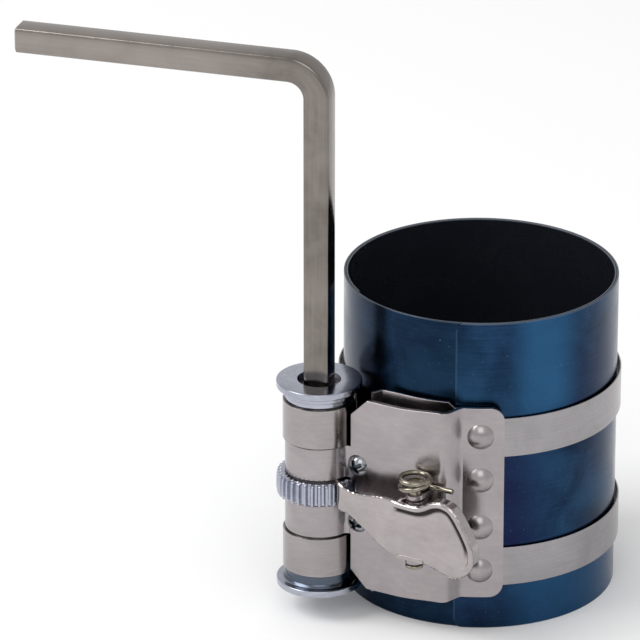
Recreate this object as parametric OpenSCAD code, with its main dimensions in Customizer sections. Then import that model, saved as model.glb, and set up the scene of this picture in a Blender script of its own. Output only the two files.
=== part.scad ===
// Piston ring compressor, ratchet type: a coiled spring-steel sleeve drawn in by
// two steel bands that wind up on a spindle turned by an L-shaped square key.
// Millimetres, +Z up, origin on the axis of the sleeve's bore in the plane of the lower rim.
// The hinge plate faces -Y; +X runs along it towards the rivets.

/* [Sleeve] */
// Outside diameter of the coiled sleeve
sleeve_d = 67; // [56:0.5:90]
// Height of the sleeve
sleeve_h = 80; // [74:1:120]
// Thickness of the spring-steel strip
sleeve_t = 0.45; // [0.3:0.05:0.8]
// Turns of the strip, from the outer end to the inner end
sleeve_turns = 1.85; // [1.6:0.05:1.95]
// Air between one layer of the strip and the next
layer_gap = 0.1; // [0.05:0.05:0.3]
// Polar angle of the outer end of the strip
outer_end = -71.5; // [-74:0.5:-70]
// Corner radius of the outer end
end_corner = 2; // [1:0.5:5]

/* [Bands] */
// Width of each band
band_w = 10; // [7:0.5:11]
// Thickness of each band
band_t = 0.4; // [0.3:0.05:0.5]
// Height of each band's middle above or below the clamp's middle
band_rise = 17; // [15.5:0.5:18.5]
// Air between band and sleeve
band_gap = 0.3; // [0.2:0.05:0.5]

/* [Spindle] */
// Height of the clamp's middle above the lower rim
clamp_mid = 33.6; // [32:0.2:40]
// Diameter of the hollow shaft
shaft_d = 14.1; // [13:0.1:15]
// Half turns of band wound on the shaft, an odd number
coil_halves = 7; // [5:2:9]
// Air between the turns of wound band
wind_gap = 0.06; // [0.04:0.01:0.1]
// Diameter of the end flanges
flange_d = 20.8; // [20:0.2:22]
// Thickness of the end flanges
flange_t = 1.7; // [1.2:0.1:2.2]
// Height of the flange tops above the clamp's middle
flange_rise = 26.9; // [26:0.1:28]
// Diameter of the round hole in the top flange
flange_hole_d = 10.4; // [9.8:0.1:11]
// Tip diameter of the ratchet wheel
wheel_d = 20.8; // [20:0.2:22]
// Thickness of the ratchet wheel
wheel_t = 5.7; // [4.5:0.1:6.5]
// Teeth on the ratchet wheel, a multiple of twelve
wheel_teeth = 36; // [24:12:48]
// Depth of the wheel teeth
tooth_depth = 1; // [0.8:0.1:1.2]

/* [Key] */
// Side of the square key
key_side = 6.35; // [5.5:0.05:7]
// Play of the key in its socket, each side
key_play = 0.08; // [0.04:0.01:0.15]
// Height of the arm's middle above the lower rim
key_arm_z = 140; // [120:1:170]
// Length of the arm from the spindle axis to its end
key_arm = 75; // [50:1:110]
// Inner radius of the key's bend
key_bend = 4; // [3:0.5:8]
// Direction of the arm seen from above
key_turn = 193; // [180:1:260]
// Chamfer along the key's edges
key_chamfer = 0.45; // [0.2:0.05:0.8]

/* [Hinge plates] */
// Thickness of the front plate
plate_t = 1.2; // [0.9:0.1:1.4]
// Half height of the front plate
plate_rise = 24.9; // [24:0.1:25.4]
// How far the front plate's middle lies below the clamp's middle
plate_drop = 0.45; // [0:0.05:0.6]
// How far the spindle axis stands in front of the sleeve
axis_front = 4.05; // [3.9:0.05:5]
// Left edge of the plate, measured from the spindle axis
plate_left = 9.5; // [9.4:0.1:10]
// Slope of the plate's step down to the sleeve
step_slope = 38; // [34:1:44]
// Bend radius at the middle of the sheet
step_bend = 2.2; // [1.6:0.1:3]
// Polar angle at which the riveted flange begins
flange_from = -66.5; // [-68:0.5:-65]
// Polar angle at which the riveted flange ends
flange_to = -52; // [-53:0.5:-49]
// Corner radius of the riveted flange
flange_corner = 3.4; // [2:0.2:5]
// Thickness of the back plate
back_t = 0.8; // [0.6:0.1:1]
// Half height of the back plate
back_rise = 26.4; // [25.6:0.1:27]
// Gap between the two leaves of each knuckle
leaf_gap = 0.3; // [0.2:0.05:0.5]
// Height of each knuckle
knuckle_h = 8.2; // [7:0.1:8.4]
// Diameter of the rivet heads
rivet_head_d = 6.4; // [5.5:0.1:7]
// Height of the rivet heads
rivet_head_h = 1.5; // [1:0.1:2]
// Diameter of the rivet shanks
rivet_d = 3; // [2.5:0.1:3.5]
// Polar angle of the row of rivets
rivet_angle = -61; // [-61.2:0.1:-59]
// Distance of the inner rivets from the middle of their row
rivet_near = 6.2; // [5.5:0.1:7]
// Distance of the outer rivets from the middle of their row
rivet_far = 17.6; // [17:0.1:18]
// Diameter of the knuckle screw heads
screw_head_d = 5.4; // [4.5:0.1:6]
// Diameter of the knuckle screw shanks
screw_d = 2.9; // [2.4:0.1:3.2]

/* [Release lever] */
// Thickness of the lever sheet
lever_t = 1.2; // [0.9:0.1:1.5]
// Distance of the pivot pin in front of the plate
pin_out = 4.45; // [4.4:0.05:5]
// Distance of the lever's outer face in front of the pivot pin
lever_out = 3.8; // [3.7:0.1:4.6]
// Position of the pivot pin along the plate
pin_x = 6.3; // [5.5:0.1:7]
// Diameter of the pivot pin
pin_d = 3.2; // [2.6:0.1:3.4]
// Diameter of the formed heads of the pivot pin
pin_head_d = 4.4; // [4:0.1:4.8]
// Angle at which the pawl tip meets the wheel
pawl_angle = -35; // [-38:0.5:-33]
// Depth to which the pawl tip reaches between the teeth
pawl_depth = 0.4; // [0.3:0.05:0.5]
// Wire diameter of the lever spring
wire_d = 0.95; // [0.7:0.05:1]
// Mean radius of the lever spring
spring_r = 3.5; // [3.2:0.1:3.6]
// Whole turns of the lever spring
spring_turns = 2; // [1:1:3]

/* [Hidden] */
$fn = 96;
// running fit of a turning piece, and seat of a fixed one, each on the radius
run_fit = 0.05;
seat_fit = 0.02;
// air kept between pieces that pass each other
air = 0.3;
// overshoot of cutting shapes
over = 1;

sleeve_r = sleeve_d / 2;
layer_pitch = sleeve_t + layer_gap;
// furthest reach of the coil from the axis of its bore
sleeve_out = sleeve_r + layer_pitch / 2;
band_in = sleeve_out + band_gap;
back_in = band_in + band_t;
front_in = back_in + back_t;
rivet_seat = front_in + plate_t;

shaft_r = shaft_d / 2;
wind_pitch = band_t + wind_gap;
coil_in = shaft_r + seat_fit;
coil_r = coil_in + (coil_halves - 1) / 2 * wind_pitch + band_t;
// spindle axis: a fixed stand-off in front of the sleeve, bands passing between
axis_reach = sleeve_out + band_gap + band_t + coil_r + 1.15;
axis_y = -(sleeve_out + axis_front);
axis_x = -sqrt(axis_reach * axis_reach - axis_y * axis_y);

// bands: crossed tangent from the sleeve to the wound turns
run_in = band_in + band_t / 2;
run_out = coil_r + air + band_t / 2;
run_angle = acos((run_in + run_out) / axis_reach);
run_length = axis_reach * sin(run_angle);
leave_angle = atan2(axis_y, axis_x) + 360 - run_angle;
// depth of the hook that holds the wound band in the shaft
hook_depth = 1.5;
band_from = flange_from - 1.5;
upper_z = clamp_mid + band_rise;
lower_z = clamp_mid - band_rise;

// levels along the spindle
wheel_low = clamp_mid - wheel_t / 2;
wheel_top = clamp_mid + wheel_t / 2;
upper_knuckle = upper_z - band_w / 2 - 0.4 - knuckle_h;
lower_knuckle = lower_z + band_w / 2 + 0.4;
flange_top = clamp_mid + flange_rise;
flange_low = clamp_mid - flange_rise;
shaft_low = flange_low + flange_t;
shaft_top = flange_top - flange_t;
top_hub = upper_z + band_w / 2 + air;
low_hub = lower_z - band_w / 2 - air;
hub_r = coil_r - 0.5;
socket_side = key_side + 2 * key_play;
key_foot = shaft_low + air;

// hinge plates
plate_front = axis_y - leaf_gap / 2 - plate_t;
plate_back = plate_front + plate_t;
plate_mid = plate_front + plate_t / 2;
left_x = axis_x + plate_left;
flange_mid = front_in + plate_t / 2;
// length of the sloping step and start of its first bend
step_exit = flange_from + 90;
step_rise = flange_mid * sin(flange_from) - plate_mid;
step_bends = step_bend * (1 - cos(step_slope)) + step_bend * (cos(step_exit) - cos(step_slope));
step_length = (step_rise - step_bends) / sin(step_slope);
step_run = step_bend * sin(step_slope) + step_bend * (sin(step_slope) - sin(step_exit));
bend_x = flange_mid * cos(flange_from) - step_run - step_length * cos(step_slope);
knuckle_in = shaft_r + run_fit;
knuckle_r = knuckle_in + plate_t;
leaf_length = 13.4;
leaf_fillet = 1.2;
screw_x = axis_x + 11.4;
screw_head_h = 1.7;
screw_drop = 0.5;
rivet_mid = clamp_mid + 0.7;
rivet_z = [rivet_far, rivet_near, -rivet_near, -rivet_far];
plate_chamfer = 4.4;
plate_low = clamp_mid - plate_drop - plate_rise;
plate_high = clamp_mid - plate_drop + plate_rise;
// margin by which the back plate stays inside the riveted flange
back_margin = 0.6;

// release lever
pin_y = plate_front - pin_out;
pin_r = pin_d / 2;
lever_face = pin_y - lever_out;
lever_bend = pin_x - 4.6;
wheel_r = wheel_d / 2;
pawl_at = wheel_r - pawl_depth;
pawl_tip = 0.34;
pawl_z = 4.6;
ear_t = 1;
top_ear = clamp_mid + 3.15;
low_ear = clamp_mid - 11;
lug_t = 1.2;
lug_r = 2.2;
ear_r = 2.4;
pin_head_h = 0.9;
top_lug = top_ear + ear_t + air;
low_lug = low_ear - air - lug_t;
pin_top = clamp_mid + 8.8;
pin_low = low_lug - air - pin_head_h;
wire_r = wire_d / 2;
coil_foot = top_lug + lug_t + air + wire_r;
spring_pitch = wire_d * 1.42;
// outline of the lever as [along, up] from the pivot at the clamp's middle
lever_points = [
    [-21.9, 4.0], [-15.6, 3.0], [-7.0, 4.2], [-2.0, 4.0], [2.6, 4.1], [6.4, 6.0], [9.6, 6.4], [13.0, 4.5],
    [17.2, -2.4], [18.0, -6.4], [15.2, -11.2], [11.4, -12.7], [4.5, -11.0], [-4.9, -9.8], [-12.0, -6.0],
    [-17.1, -3.2], [-21.9, -2.3]
];
dish_share = 0.92;
dish_from = -3.6;
dish_depth = 0.5;
// depth of the turned-back rim from the lever's face, and where it ends below
rim_depth = 3.3;
rim_low = -8;
lever_span = 2 * max([for (p = lever_points) norm(p)]);

// a strip bent round the Z axis from the X axis on, standing on z = 0
module strip_arc(inner, t, h, angle) {
    rotate_extrude(angle = angle)
        translate([inner, 0])
            square([t, h]);
}

// the piece cut away to round one corner of the sleeve's outer end
module corner_cut() {
    difference() {
        translate([sleeve_r - sleeve_t - over, -over, -over])
            cube([sleeve_t + 2 * over, end_corner + over, end_corner + over]);
        translate([sleeve_r - sleeve_t - 2 * over, end_corner, end_corner])
            rotate([0, 90, 0])
                cylinder(r = end_corner, h = sleeve_t + 4 * over);
    }
}

// coiled strip: half turns struck from two centres, each half turn further in
module sleeve() {
    inner = sleeve_r - sleeve_t;
    color([0.10, 0.20, 0.36])
        rotate([0, 0, outer_end]) {
            translate([layer_pitch / 2, 0, 0]) {
                difference() {
                    strip_arc(inner, sleeve_t, sleeve_h, 180);
                    corner_cut();
                    translate([0, 0, sleeve_h])
                        mirror([0, 0, 1])
                            corner_cut();
                }
                strip_arc(inner - layer_pitch, sleeve_t, sleeve_h, 180);
            }
            rotate([0, 0, 180]) {
                strip_arc(inner - layer_pitch / 2, sleeve_t, sleeve_h, 180);
                strip_arc(inner - layer_pitch * 1.5, sleeve_t, sleeve_h, 360 * sleeve_turns - 540);
            }
        }
}

// radial hole or shank in the row of rivets
module rivet_bar(z, r, from, to) {
    rotate([0, 0, rivet_angle])
        translate([from, 0, z])
            rotate([0, 90, 0])
                cylinder(r = r, h = to - from);
}

// one band: riveted end, the way round the sleeve and the free run to the spindle
module band(z) {
    difference() {
        translate([0, 0, z - band_w / 2])
            rotate([0, 0, leave_angle]) {
                mirror([0, 1, 0])
                    strip_arc(band_in, band_t, band_w, leave_angle - band_from);
                translate([band_in, 0, 0])
                    cube([band_t, run_length, band_w]);
            }
        for (rise = rivet_z)
            rivet_bar(rivet_mid + rise, rivet_d / 2 + run_fit, band_in - over, back_in + over);
    }
}

module upper_band() {
    color([0.66, 0.64, 0.63])
        band(upper_z);
}

module lower_band() {
    color([0.66, 0.64, 0.63])
        band(lower_z);
}

// wound band: half turns struck from two centres, hooked into the shaft
module band_coil(z) {
    translate([axis_x, axis_y, z - band_w / 2])
        rotate([0, 0, leave_angle]) {
            for (i = [0 : coil_halves - 1])
                translate([i % 2 * wind_pitch / 2, 0, 0])
                    rotate([0, 0, 180 * (i % 2)])
                        strip_arc(coil_r - band_t - i * wind_pitch / 2, band_t, band_w, 180);
            translate([coil_in - hook_depth, 0, 0])
                cube([hook_depth + band_t / 2, band_t, band_w]);
        }
}

module upper_band_coil() {
    color([0.68, 0.66, 0.65])
        band_coil(upper_z);
}

module lower_band_coil() {
    color([0.68, 0.66, 0.65])
        band_coil(lower_z);
}

// sector between two angles, used to trim a flat ring
module ring_sector(inner, outer, a0, a1) {
    reach = outer * 2;
    intersection() {
        difference() {
            circle(r = outer);
            circle(r = inner);
        }
        polygon([[0, 0], reach * [cos(a0), sin(a0)], reach * [cos((a0 + a1) / 2), sin((a0 + a1) / 2)],
            reach * [cos(a1), sin(a1)]]);
    }
}

// front plate seen from above: flat, two bends and the part curved to the sleeve
module plate_plan() {
    half = plate_t / 2;
    translate([left_x, plate_front])
        square([bend_x - left_x, plate_t]);
    translate([bend_x, plate_mid + step_bend])
        ring_sector(step_bend - half, step_bend + half, -90, -90 + step_slope);
    translate([bend_x + step_bend * sin(step_slope), plate_mid + step_bend * (1 - cos(step_slope))])
        rotate(step_slope) {
            translate([0, -half])
                square([step_length, plate_t]);
            translate([step_length, -step_bend])
                ring_sector(step_bend - half, step_bend + half, 90 + step_exit - step_slope, 90);
        }
    ring_sector(front_in, front_in + plate_t, flange_from, flange_to);
}

// cut-outs that round the two right-hand corners of an upright outline
module corner_rounds(right, low, high) {
    for (side = [0, 1])
        translate([right - flange_corner, side == 0 ? low + flange_corner : high - flange_corner])
            mirror([0, 1 - side])
                difference() {
                    square([2 * flange_corner + over, flange_corner + over]);
                    circle(r = flange_corner);
                }
}

// front plate seen from the front: chamfered on the left, rounded on the right
module plate_outline() {
    right_x = flange_mid * cos(flange_to) + plate_t;
    difference() {
        polygon([
            [left_x, plate_low + plate_chamfer], [left_x + plate_chamfer, plate_low], [right_x, plate_low],
            [right_x, plate_high], [left_x + plate_chamfer, plate_high], [left_x, plate_high - plate_chamfer]
        ]);
        // room for the ratchet wheel between the knuckles
        translate([left_x - over, wheel_low - air])
            square([axis_x + wheel_r + 2 * air - left_x + over, wheel_t + 2 * air]);
        corner_rounds(front_in * cos(flange_to), plate_low, plate_high);
    }
}

// back plate seen from the front: tall on the left, inside the flange on the right
module back_outline() {
    left = axis_x;
    right = front_in * cos(flange_to) - back_margin;
    narrow = flange_mid * cos(flange_from);
    wide = narrow - 2 * back_margin;
    low = plate_low + back_margin;
    high = plate_high - back_margin;
    difference() {
        polygon([
            [left, clamp_mid - back_rise], [wide, clamp_mid - back_rise], [narrow, low], [right, low],
            [right, high], [narrow, high], [wide, clamp_mid + back_rise], [left, clamp_mid + back_rise]
        ]);
        corner_rounds(right, low, high);
    }
}

// one leaf joining a knuckle ring, with a rounded inside corner
module leaf_corner() {
    edge = leaf_gap / 2 + plate_t;
    fx = sqrt(pow(knuckle_r + leaf_fillet, 2) - pow(edge + leaf_fillet, 2));
    touch = knuckle_r / (knuckle_r + leaf_fillet);
    difference() {
        polygon([[knuckle_in + 0.2, -edge + 0.4], [fx, -edge + 0.4], [fx, -edge - leaf_fillet],
            [fx * touch, -(edge + leaf_fillet) * touch]]);
        translate([fx, -edge - leaf_fillet])
            circle(r = leaf_fillet);
    }
}

// knuckle seen from above: ring round the shaft and two leaves held by a screw
module knuckle_plan() {
    translate([axis_x, axis_y]) {
        difference() {
            circle(r = knuckle_r);
            circle(r = knuckle_in);
            translate([0, -leaf_gap / 2])
                square([knuckle_r + over, leaf_gap]);
        }
        leaf_corner();
        mirror([0, 1])
            leaf_corner();
        translate([knuckle_in + 0.2, -leaf_gap / 2 - plate_t])
            square([plate_left - knuckle_in + 0.3, plate_t]);
        translate([knuckle_in + 0.2, leaf_gap / 2])
            square([leaf_length - knuckle_in - 0.2, plate_t]);
    }
}

// lug bent out of the plate to carry the pivot pin
module lug(z) {
    translate([pin_x, pin_y, z])
        linear_extrude(lug_t) {
            circle(r = lug_r);
            translate([-lug_r, 0])
                square([2 * lug_r, pin_out + plate_t / 2]);
        }
}

module front_plate() {
    color([0.70, 0.68, 0.67])
        difference() {
            union() {
                intersection() {
                    translate([0, 0, plate_low - over])
                        linear_extrude(2 * plate_rise + 2 * over)
                            plate_plan();
                    rotate([90, 0, 0])
                        linear_extrude(-plate_front + over)
                            plate_outline();
                }
                for (z = [upper_knuckle, lower_knuckle])
                    translate([0, 0, z])
                        linear_extrude(knuckle_h)
                            knuckle_plan();
                lug(top_lug);
                lug(low_lug);
            }
            for (rise = rivet_z)
                rivet_bar(rivet_mid + rise, rivet_d / 2 + run_fit, front_in - over, rivet_seat + over);
            for (z = [upper_knuckle, lower_knuckle])
                translate([screw_x, plate_front - over, z + knuckle_h / 2 - screw_drop])
                    rotate([-90, 0, 0])
                        cylinder(d = screw_d + 2 * run_fit, h = 2 * plate_t + leaf_gap + 2 * over);
            translate([pin_x, pin_y, low_lug - over])
                cylinder(r = pin_r + seat_fit, h = top_lug - low_lug + lug_t + 2 * over);
        }
}

// back plate: flat beside the sleeve, turned forward on the left, curved on the right
module back_plate() {
    wall_x = axis_x + leaf_length + 2.2;
    wall_front = plate_back + air;
    lean = 1.5;
    color([0.62, 0.60, 0.59])
        difference() {
            intersection() {
                translate([0, 0, clamp_mid - back_rise - over])
                    linear_extrude(2 * back_rise + 2 * over) {
                        translate([wall_x, -front_in])
                            square([-wall_x, back_t]);
                        polygon([
                            [wall_x, -back_in], [wall_x - lean, wall_front], [wall_x - lean + back_t, wall_front],
                            [wall_x + back_t, -back_in]
                        ]);
                        ring_sector(back_in, front_in, -90, flange_to);
                    }
                rotate([90, 0, 0])
                    linear_extrude(-axis_y + over)
                        back_outline();
            }
            for (rise = rivet_z)
                rivet_bar(rivet_mid + rise, rivet_d / 2 + run_fit, back_in - over, front_in + over);
        }
}

// domed rivet: head on the front plate, shank through both plates to the band
module rivet(rise) {
    head_r = rivet_head_d / 2;
    dome_r = (head_r * head_r + rivet_head_h * rivet_head_h) / (2 * rivet_head_h);
    color([0.72, 0.70, 0.69]) {
        rivet_bar(rivet_mid + rise, rivet_d / 2, band_in, rivet_seat + 0.2);
        rotate([0, 0, rivet_angle])
            translate([rivet_seat, 0, rivet_mid + rise])
                rotate([0, 90, 0])
                    intersection() {
                        translate([0, 0, rivet_head_h - dome_r])
                            sphere(r = dome_r);
                        cylinder(r = head_r + over, h = rivet_head_h + over);
                    }
    }
}

module rivet_1() {
    rivet(rivet_z[0]);
}

module rivet_2() {
    rivet(rivet_z[1]);
}

module rivet_3() {
    rivet(rivet_z[2]);
}

module rivet_4() {
    rivet(rivet_z[3]);
}

// round-headed screw with a cross recess, drawing the two leaves together
module knuckle_screw(z, turn) {
    head_r = screw_head_d / 2;
    dome_r = (head_r * head_r + screw_head_h * screw_head_h) / (2 * screw_head_h);
    slot = 0.8;
    slot_length = screw_head_d * 0.62;
    slot_depth = 1;
    color([0.62, 0.66, 0.70])
        translate([screw_x, plate_front, z])
            rotate([90, 0, 0])
                rotate([0, 0, turn])
                    difference() {
                        union() {
                            intersection() {
                                translate([0, 0, screw_head_h - dome_r])
                                    sphere(r = dome_r);
                                cylinder(r = head_r + over, h = screw_head_h + over);
                            }
                            translate([0, 0, -2 * plate_t - leaf_gap - 0.8])
                                cylinder(d = screw_d, h = 2 * plate_t + leaf_gap + 1);
                        }
                        for (quarter = [0, 90])
                            rotate([0, 0, quarter])
                                translate([-slot_length / 2, -slot / 2, screw_head_h - slot_depth])
                                    cube([slot_length, slot, slot_depth + over]);
                    }
}

module knuckle_screw_upper() {
    knuckle_screw(upper_knuckle + knuckle_h / 2 - screw_drop, 25);
}

module knuckle_screw_lower() {
    knuckle_screw(lower_knuckle + knuckle_h / 2 - screw_drop, -12);
}

// hollow shaft: square socket for the key, slots for the band ends
module spindle_shaft() {
    color([0.60, 0.60, 0.60])
        translate([axis_x, axis_y, 0])
            difference() {
                translate([0, 0, shaft_low])
                    cylinder(r = shaft_r, h = shaft_top - shaft_low);
                rotate([0, 0, key_turn])
                    translate([-socket_side / 2, -socket_side / 2, shaft_low - over])
                        cube([socket_side, socket_side, shaft_top - shaft_low + 2 * over]);
                for (z = [upper_z, lower_z])
                    rotate([0, 0, leave_angle])
                        translate([coil_in - hook_depth - 0.15, -0.1, z - band_w / 2 - 0.1])
                            cube([hook_depth + over, band_t + 0.2, band_w + 0.2]);
            }
}

// top flange: disc with a round hole over the socket, stepped hub on the shaft
module top_flange() {
    color([0.66, 0.70, 0.74])
        translate([axis_x, axis_y, 0])
            rotate_extrude()
                polygon([
                    [shaft_r + seat_fit, top_hub], [hub_r, top_hub], [hub_r, (top_hub + shaft_top) / 2],
                    [hub_r + 0.7, (top_hub + shaft_top) / 2], [hub_r + 0.7, shaft_top],
                    [flange_d / 2 - 0.2, shaft_top], [flange_d / 2, shaft_top + 0.2],
                    [flange_d / 2, flange_top - 0.4], [flange_d / 2 - 0.4, flange_top],
                    [flange_hole_d / 2 + 0.3, flange_top], [flange_hole_d / 2, flange_top - 0.3],
                    [flange_hole_d / 2, shaft_top], [shaft_r + seat_fit, shaft_top]
                ]);
}

// bottom flange: closed disc under the shaft, hub round it
module bottom_flange() {
    color([0.66, 0.70, 0.74])
        translate([axis_x, axis_y, 0])
            rotate_extrude()
                polygon([
                    [0, flange_low], [flange_d / 2 - 0.4, flange_low], [flange_d / 2, flange_low + 0.4],
                    [flange_d / 2, shaft_low - 0.3], [flange_d / 2 - 0.3, shaft_low],
                    [hub_r + 0.5, shaft_low], [hub_r - 0.3, shaft_low + 0.8], [hub_r - 0.3, low_hub],
                    [shaft_r + seat_fit, low_hub], [shaft_r + seat_fit, shaft_low], [0, shaft_low]
                ]);
}

// ratchet wheel: straight teeth all round, one gap facing the pawl
module ratchet_wheel() {
    step = 360 / wheel_teeth;
    root_r = wheel_r - tooth_depth;
    tip = step * 0.15;
    foot = step * 0.30;
    color([0.64, 0.68, 0.72])
        translate([axis_x, axis_y, wheel_low])
            difference() {
                linear_extrude(wheel_t)
                    polygon([
                        for (i = [0 : wheel_teeth - 1], k = [[-foot, root_r], [-tip, wheel_r],
                                [tip, wheel_r], [foot, root_r]])
                            k[1] * [cos(pawl_angle + (i + 0.5) * step + k[0]),
                                sin(pawl_angle + (i + 0.5) * step + k[0])]
                    ]);
                translate([0, 0, -over])
                    cylinder(r = shaft_r + seat_fit, h = wheel_t + 2 * over);
            }
}

// square section of the key with broken edges
module key_section() {
    half = key_side / 2;
    cut = half - key_chamfer;
    polygon([[cut, -half], [half, -cut], [half, cut], [cut, half], [-cut, half], [-half, cut],
        [-half, -cut], [-cut, -half]]);
}

// L-shaped key: leg in the socket, bend and arm
module key() {
    bend = key_bend + key_side / 2;
    color([0.56, 0.53, 0.50])
        translate([axis_x, axis_y, 0])
            rotate([0, 0, key_turn]) {
                translate([0, 0, key_foot])
                    linear_extrude(key_arm_z - bend - key_foot)
                        key_section();
                translate([bend, 0, key_arm_z - bend])
                    rotate([90, 0, 0])
                        rotate([0, 0, 90])
                            rotate_extrude(angle = 90)
                                translate([bend, 0])
                                    key_section();
                translate([bend, 0, key_arm_z])
                    rotate([0, 90, 0])
                        linear_extrude(key_arm - bend)
                            key_section();
            }
}

// smooth closed curve through the lever's outline points
function curve_point(p, i, t) =
    let (n = len(p), a = p[(i + n - 1) % n], b = p[i], c = p[(i + 1) % n], d = p[(i + 2) % n])
    0.5 * (2 * b + (c - a) * t + (2 * a - 5 * b + 4 * c - d) * t * t + (3 * b - a - 3 * c + d) * t * t * t);
curve_steps = 5;
lever_curve = [
    for (i = [0 : len(lever_points) - 2], s = [0 : curve_steps - 1])
        curve_point(lever_points, i, s / curve_steps),
    lever_points[len(lever_points) - 1]
];
dish_foot = [6, -13.4];
dish_curve = [for (p = lever_curve) dish_foot + dish_share * (p - dish_foot)];

// lever seen from above: paddle, nose and pawl tip
module lever_plan() {
    nose = [axis_x + (wheel_r + 1.8) * cos(pawl_angle), axis_y + (wheel_r + 1.8) * sin(pawl_angle)];
    bend_y = lever_face + lever_t / 2;
    slope = atan2(nose[1] - bend_y, nose[0] - lever_bend);
    nose_length = sqrt(pow(nose[0] - lever_bend, 2) + pow(nose[1] - bend_y, 2));
    translate([lever_bend, lever_face])
        square([22, lever_t]);
    translate([lever_bend, bend_y]) {
        circle(r = lever_t / 2);
        rotate(slope)
            translate([0, -lever_t / 2])
                square([nose_length, lever_t]);
    }
    translate([axis_x, axis_y])
        rotate(pawl_angle)
            polygon([[pawl_at, -pawl_tip / 2], [wheel_r + 0.7, -lever_t / 2], [wheel_r + 2.4, -lever_t / 2],
                [wheel_r + 2.4, lever_t / 2], [wheel_r + 0.7, lever_t / 2], [pawl_at, pawl_tip / 2]]);
}

// ear joining the lever to the pivot pin
module ear(z) {
    translate([pin_x, pin_y, z])
        linear_extrude(ear_t) {
            circle(r = ear_r);
            polygon([[-ear_r, 0], [-ear_r - 0.8, -lever_out + lever_t / 2],
                [ear_r + 1.6, -lever_out + lever_t / 2], [ear_r, 0]]);
        }
}

module release_lever() {
    color([0.74, 0.72, 0.70])
        difference() {
            union() {
                intersection() {
                    linear_extrude(clamp_mid + 10)
                        lever_plan();
                    translate([pin_x, 0, clamp_mid])
                        rotate([90, 0, 0])
                            linear_extrude(-lever_face + over)
                                polygon(lever_curve);
                }
                // rim turned back along the top and the right
                translate([pin_x, lever_face + rim_depth, clamp_mid])
                    rotate([90, 0, 0])
                        linear_extrude(rim_depth)
                            intersection() {
                                difference() {
                                    polygon(lever_curve);
                                    polygon(dish_curve);
                                }
                                translate([dish_from, rim_low])
                                    square(lever_span);
                            }
                ear(top_ear);
                ear(low_ear);
            }
            // shallow dish inside the rim
            translate([pin_x, lever_face + dish_depth, clamp_mid])
                rotate([90, 0, 0])
                    linear_extrude(dish_depth + over)
                        intersection() {
                            polygon(dish_curve);
                            translate([dish_from, -lever_span / 2])
                                square(lever_span);
                        }
            translate([pin_x, pin_y, low_ear - over])
                cylinder(r = pin_r + run_fit, h = top_ear - low_ear + ear_t + 2 * over);
        }
}

// pivot pin with formed heads
module pivot_pin() {
    color([0.58, 0.57, 0.52])
        translate([pin_x, pin_y, 0])
            rotate_extrude()
                polygon([
                    [0, pin_low], [pin_head_d / 2 - 0.4, pin_low], [pin_head_d / 2, pin_low + 0.4],
                    [pin_head_d / 2, pin_low + pin_head_h], [pin_r, pin_low + pin_head_h],
                    [pin_r, pin_top - pin_head_h], [pin_head_d / 2, pin_top - pin_head_h],
                    [pin_head_d / 2, pin_top - 0.4], [pin_head_d / 2 - 0.4, pin_top], [0, pin_top]
                ]);
}

// half a turn of spring wire about the pin, rising by half a pitch
module wire_half(i) {
    reach = sqrt(spring_r * spring_r + spring_pitch * spring_pitch / 16);
    tilt = asin(spring_pitch / 4 / reach);
    side = i % 2;
    translate([0, 0, spring_pitch / 4 + i * spring_pitch / 2])
        rotate([0, side == 0 ? tilt : -tilt, 0])
            rotate([0, 0, 180 * side])
                rotate_extrude(angle = 180)
                    translate([reach, 0])
                        circle(r = wire_r);
}

// spring round the pin: lower leg along the plate, turns rising from it
module pawl_spring() {
    leg = 8.4;
    color([0.60, 0.56, 0.46])
        translate([pin_x, pin_y, coil_foot])
            rotate([0, 0, 90]) {
                for (i = [0 : 2 * spring_turns - 1])
                    wire_half(i);
                translate([spring_r, 0, 0])
                    rotate([90, 0, 0])
                        cylinder(r = wire_r, h = leg);
            }
}

sleeve();
upper_band();
lower_band();
upper_band_coil();
lower_band_coil();
front_plate();
back_plate();
rivet_1();
rivet_2();
rivet_3();
rivet_4();
knuckle_screw_upper();
knuckle_screw_lower();
spindle_shaft();
top_flange();
bottom_flange();
ratchet_wheel();
key();
release_lever();
pivot_pin();
pawl_spring();
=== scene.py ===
import math

import bmesh
import bpy
import numpy as np
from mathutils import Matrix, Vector


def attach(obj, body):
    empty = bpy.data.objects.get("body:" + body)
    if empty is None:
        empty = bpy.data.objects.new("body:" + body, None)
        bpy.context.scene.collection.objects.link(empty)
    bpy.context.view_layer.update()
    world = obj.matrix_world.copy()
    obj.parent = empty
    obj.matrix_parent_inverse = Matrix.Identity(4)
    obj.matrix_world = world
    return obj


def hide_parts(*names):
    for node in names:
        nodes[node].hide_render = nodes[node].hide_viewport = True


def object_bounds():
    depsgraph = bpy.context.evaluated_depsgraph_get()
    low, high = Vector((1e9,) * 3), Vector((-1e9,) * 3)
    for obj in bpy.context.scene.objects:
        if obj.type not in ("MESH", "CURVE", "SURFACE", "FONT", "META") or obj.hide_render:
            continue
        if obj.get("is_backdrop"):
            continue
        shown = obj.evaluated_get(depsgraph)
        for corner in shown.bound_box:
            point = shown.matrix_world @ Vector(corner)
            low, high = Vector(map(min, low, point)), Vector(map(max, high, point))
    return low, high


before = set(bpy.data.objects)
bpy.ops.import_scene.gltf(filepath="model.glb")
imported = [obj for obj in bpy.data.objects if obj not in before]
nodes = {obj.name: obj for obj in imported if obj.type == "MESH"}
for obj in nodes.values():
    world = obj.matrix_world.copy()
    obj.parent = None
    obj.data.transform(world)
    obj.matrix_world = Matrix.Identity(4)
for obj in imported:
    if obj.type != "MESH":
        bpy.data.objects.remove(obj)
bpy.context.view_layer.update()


# Sleeve: one strip of spring steel coiled nearly twice round itself, rolled to its
# curve, blued by heat and left loose, so that the layers slide as the bands draw it
# in. Its outer end shows at the front; its rims and outer end are paler, partly worn and partly a painted
# highlight.
mm = 0.001
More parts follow.
